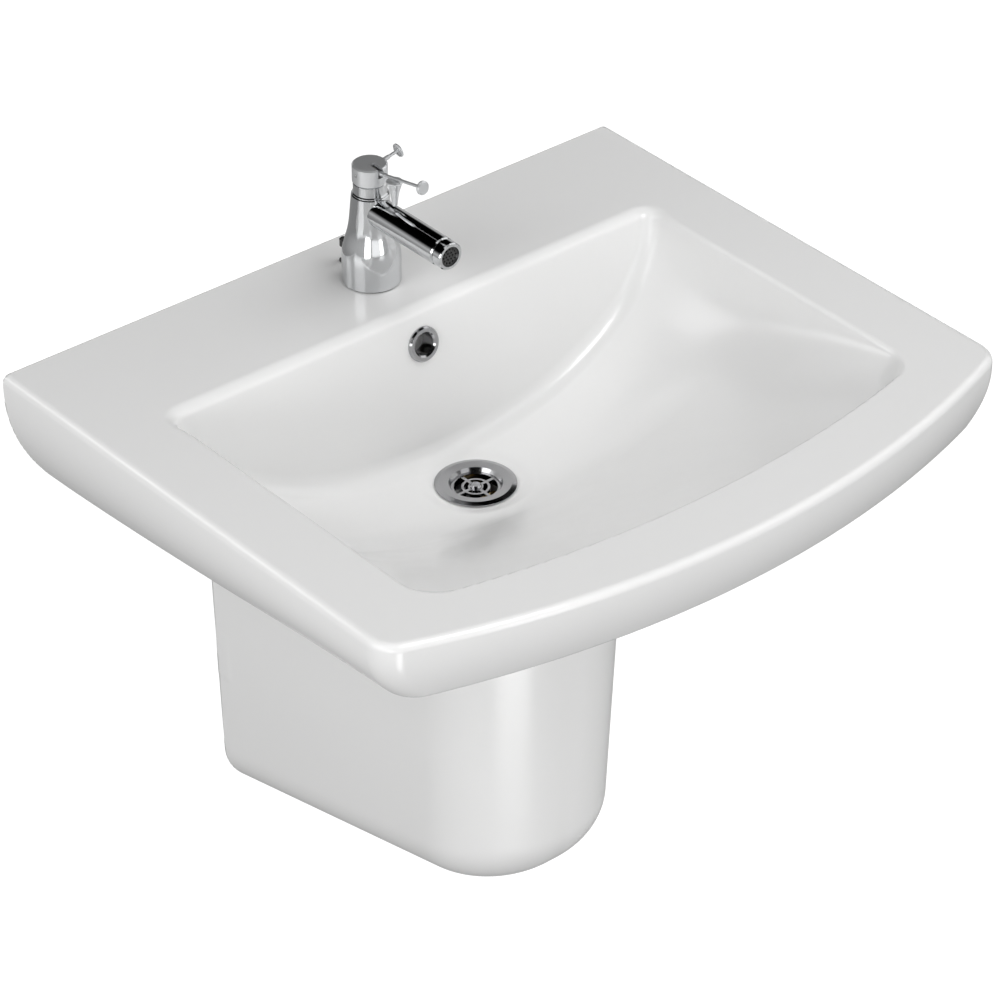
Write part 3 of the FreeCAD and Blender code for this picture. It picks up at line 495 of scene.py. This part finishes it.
def plastic(name, dark, light):
    material, shader = new_material(name, light, 0.35)
    vary_color(material, shader, add_noise(material, 25), dark, light)
    vary_roughness(material, shader, add_noise(material, 400), 0.3, 0.42)
    add_bump(material, shader, add_noise(material, 1200), 0.0001, 0.12)
    return material


def disc_ceramic():
    material, shader = new_material("disc_ceramic", (0.75, 0.73, 0.69), 0.25)
    vary_roughness(material, shader, add_noise(material, 500), 0.2, 0.32)
    return material


MATERIALS = {
    "glazed_ceramic": glaze(),
    "chrome": chrome("polished_chrome", (0.64, 0.65, 0.66), 0.1),
    "satin_chrome": satin_chrome(),
    "black_plastic": plastic("black_plastic", (0.02, 0.02, 0.02), (0.035, 0.035, 0.035)),
    "steel": steel(),
    "brass": brass(),
    "rubber": rubber(),
    "white_plastic": plastic("white_plastic", (0.74, 0.74, 0.73), (0.80, 0.80, 0.79)),
    "grey_plastic": plastic("grey_plastic", (0.20, 0.20, 0.21), (0.27, 0.27, 0.28)),
    "disc_ceramic": disc_ceramic(),
}

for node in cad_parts.values():
    for slot in node.material_slots:
        slot.material = MATERIALS[slot.material.name.split(".")[0]]

# The drain and overflow parts get a darker, rougher copy of the chrome: painted shade for where
# they sit down in the bowl and in the dark drain hole.
shaded_drain_chrome = chrome("shaded_drain_chrome", (0.44, 0.44, 0.45), 0.16)
for name in ("waste_body", "waste_grid", "waste_screw", "overflow_ring"):
    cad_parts[name].material_slots[0].material = shaded_drain_chrome

# ---------------------------------------------------------------- ceramic pieces


def box_in_mm(corners):
    low, high = corners
    shift = Vector((0, 0, RIM))
    return [c / MM for c in low - shift], [c / MM for c in high - shift]


def ceramic(name, field, node, pitch):
    low, high = box_in_mm(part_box(node))
    piece = field_mesh(name, field, low, high, pitch)
    piece.data.materials.append(MATERIALS["glazed_ceramic"])
    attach(piece, "fixed")
    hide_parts(node)
    return piece


basin = ceramic("basin_glazed", basin_field, "basin", 2.5)
pedestal = ceramic("semi_pedestal_glazed", shroud_field, "semi_pedestal", 3.0)

# ---------------------------------------------------------------- stage, light and camera

FLOOR_DOWN = 0.85
FLOOR_SIZE = 60
BACKDROP_STRENGTH = 1.1
LIGHT_TARGET = Vector((0, -0.25, 0.0))
CAMERA_AZIMUTH = -39.85
CAMERA_ELEVATION = 34.27
CAMERA_PLACE = (-1.7652, -2.3399, 1.8391)
CAMERA_LENS = 154.6


def direction(azimuth, elevation):
    """Which way a light or the camera lies. Azimuth 0 is in front, and 90 is to the right."""
    turn, rise = math.radians(azimuth), math.radians(elevation)
    flat = math.cos(rise)
    return Vector((math.sin(turn) * flat, -math.cos(turn) * flat, math.sin(rise)))


def camera_only(piece):
    piece.visible_diffuse = False
    piece.visible_glossy = False
    piece.visible_transmission = False
    piece.visible_shadow = False


def make_floor():
    """A plain white floor that only the camera sees: it gives no light and takes no shadow."""
    bpy.ops.mesh.primitive_plane_add(size=FLOOR_SIZE, location=(0, 0, RIM - FLOOR_DOWN))
    floor = bpy.context.object
    floor.name = "floor"
    material = bpy.data.materials.new("white_floor")
    material.use_nodes = True
    nodes = material.node_tree.nodes
    nodes.clear()
    light = nodes.new("ShaderNodeEmission")
    light.inputs["Strength"].default_value = BACKDROP_STRENGTH
    out = nodes.new("ShaderNodeOutputMaterial")
    material.node_tree.links.new(light.outputs["Emission"], out.inputs["Surface"])
    floor.data.materials.append(material)
    camera_only(floor)


def make_world(below, above, upright):
    """Soft light that changes with height: below, at eye level and above.

    The camera sees a white backdrop instead."""
    world = bpy.data.worlds.new("studio")
    world.use_nodes = True
    nodes, links = world.node_tree.nodes, world.node_tree.links
    nodes.clear()
    place = nodes.new("ShaderNodeTexCoord")
    parts = nodes.new("ShaderNodeSeparateXYZ")
    ramp = nodes.new("ShaderNodeValToRGB")
    height = nodes.new("ShaderNodeMapRange")
    height.inputs["From Min"].default_value = -1
    links.new(place.outputs["Generated"], parts.inputs["Vector"])
    links.new(parts.outputs["Z"], height.inputs["Value"])
    links.new(height.outputs["Result"], ramp.inputs["Fac"])
    steps = ramp.color_ramp.elements
    for element, position, value in zip(steps, (0.35, 0.65), (below, above)):
        element.position = position
        element.color = (value, value, value, 1)
    middle = steps.new(0.5)
    middle.color = (upright, upright, upright, 1)
    soft = nodes.new("ShaderNodeBackground")
    links.new(ramp.outputs["Color"], soft.inputs["Color"])
    white = nodes.new("ShaderNodeBackground")
    white.inputs["Color"].default_value = (1, 1, 1, 1)
    white.inputs["Strength"].default_value = BACKDROP_STRENGTH
    path = nodes.new("ShaderNodeLightPath")
    pick = nodes.new("ShaderNodeMixShader")
    links.new(path.outputs["Is Camera Ray"], pick.inputs["Fac"])
    links.new(soft.outputs["Background"], pick.inputs[1])
    links.new(white.outputs["Background"], pick.inputs[2])
    out = nodes.new("ShaderNodeOutputWorld")
    links.new(pick.outputs["Shader"], out.inputs["Surface"])
    bpy.context.scene.world = world


def softbox(name, azimuth, elevation, distance, width, height, watts,
            mirrored=True, lights=True, only=None):
    """An area light aimed at the bowl.

    mirrored is whether reflections show it, lights whether it gives diffuse light, and only the
    one piece that it falls on, where it isn't all of them."""
    away = direction(azimuth, elevation)
    data = bpy.data.lights.new(name, "AREA")
    data.shape = "RECTANGLE"
    data.size = width
    data.size_y = height
    data.energy = watts
    lamp = bpy.data.objects.new(name, data)
    lamp.location = LIGHT_TARGET + away * distance
    lamp.rotation_euler = away.to_track_quat("Z", "Y").to_euler()
    lamp.visible_glossy = mirrored
    lamp.visible_diffuse = lights
    bpy.context.scene.collection.objects.link(lamp)
    if only:
        lamp.light_linking.receiver_collection = bpy.data.collections.new(name + "_pieces")
        lamp.light_linking.receiver_collection.objects.link(only)


UNMIRRORED = {"mirrored": False}
ON_SHROUD = {"only": pedestal}
SHROUD_CARD = {"lights": False, "only": pedestal}
BASIN_CARD = {"lights": False, "only": basin}

# Each row: name, azimuth and elevation in degrees, distance, width and height in metres, watts.
LIGHTS = (
    ("right_box", 80, 35, 2.5, 1.6, 1.6, 9.3, {}),
    ("right_high_box", 80, 62, 2.5, 1.6, 1.6, 14.6, UNMIRRORED),
    ("top_box", 0, 88, 2.2, 1.8, 1.8, 5.3, UNMIRRORED),
    ("front_box", 10, 35, 3.0, 1.8, 1.8, 9.5, {}),
    ("front_high_box", 10, 62, 2.6, 1.6, 1.6, 12.9, UNMIRRORED),
    ("left_box", -90, 30, 2.5, 1.6, 1.6, 26, {}),
    ("front_low_box", -20, 8, 3.0, 1.8, 1.2, 5.2, {}),
    ("right_low_box", 60, 8, 3.0, 1.8, 1.2, 10, ON_SHROUD),
    ("edge_box", 43, 39, 2.5, 0.8, 0.8, 2.5, {}),
    ("front_strip", 5, 6, 3.0, 0.7, 1.4, 12, {}),
    ("left_low_box", -55, 6, 3.0, 1.2, 1.2, 22, {}),
    ("shroud_box", 2, 4, 3.0, 1.4, 1.2, 9, ON_SHROUD),
    ("shroud_card", -20, -33, 2.5, 1.4, 0.9, 25, SHROUD_CARD),
    ("corner_card", -28, -33, 2.5, 0.6, 0.9, 9, BASIN_CARD),
    ("crease_card", 5, 58, 2.5, 0.7, 0.7, 17, BASIN_CARD),
    ("left_edge_card", -138, 32, 2.5, 0.9, 0.9, 7, BASIN_CARD),
    ("back_edge_card", 43, 39, 2.5, 0.8, 0.8, 5, BASIN_CARD),
)

make_floor()
make_world(below=0.3, above=0.0, upright=0.6)
for *measures, options in LIGHTS:
    softbox(*measures, **options)


def make_camera():
    """The view from the left front, looking down."""
    data = bpy.data.cameras.new("camera")
    data.lens = CAMERA_LENS
    data.sensor_width = 36
    camera = bpy.data.objects.new("camera", data)
    back = direction(CAMERA_AZIMUTH, CAMERA_ELEVATION)
    camera.rotation_euler = back.to_track_quat("Z", "Y").to_euler()
    camera.location = CAMERA_PLACE
    bpy.context.scene.collection.objects.link(camera)
    bpy.context.scene.camera = camera


make_camera()
bpy.context.scene.view_settings.view_transform = "Standard"
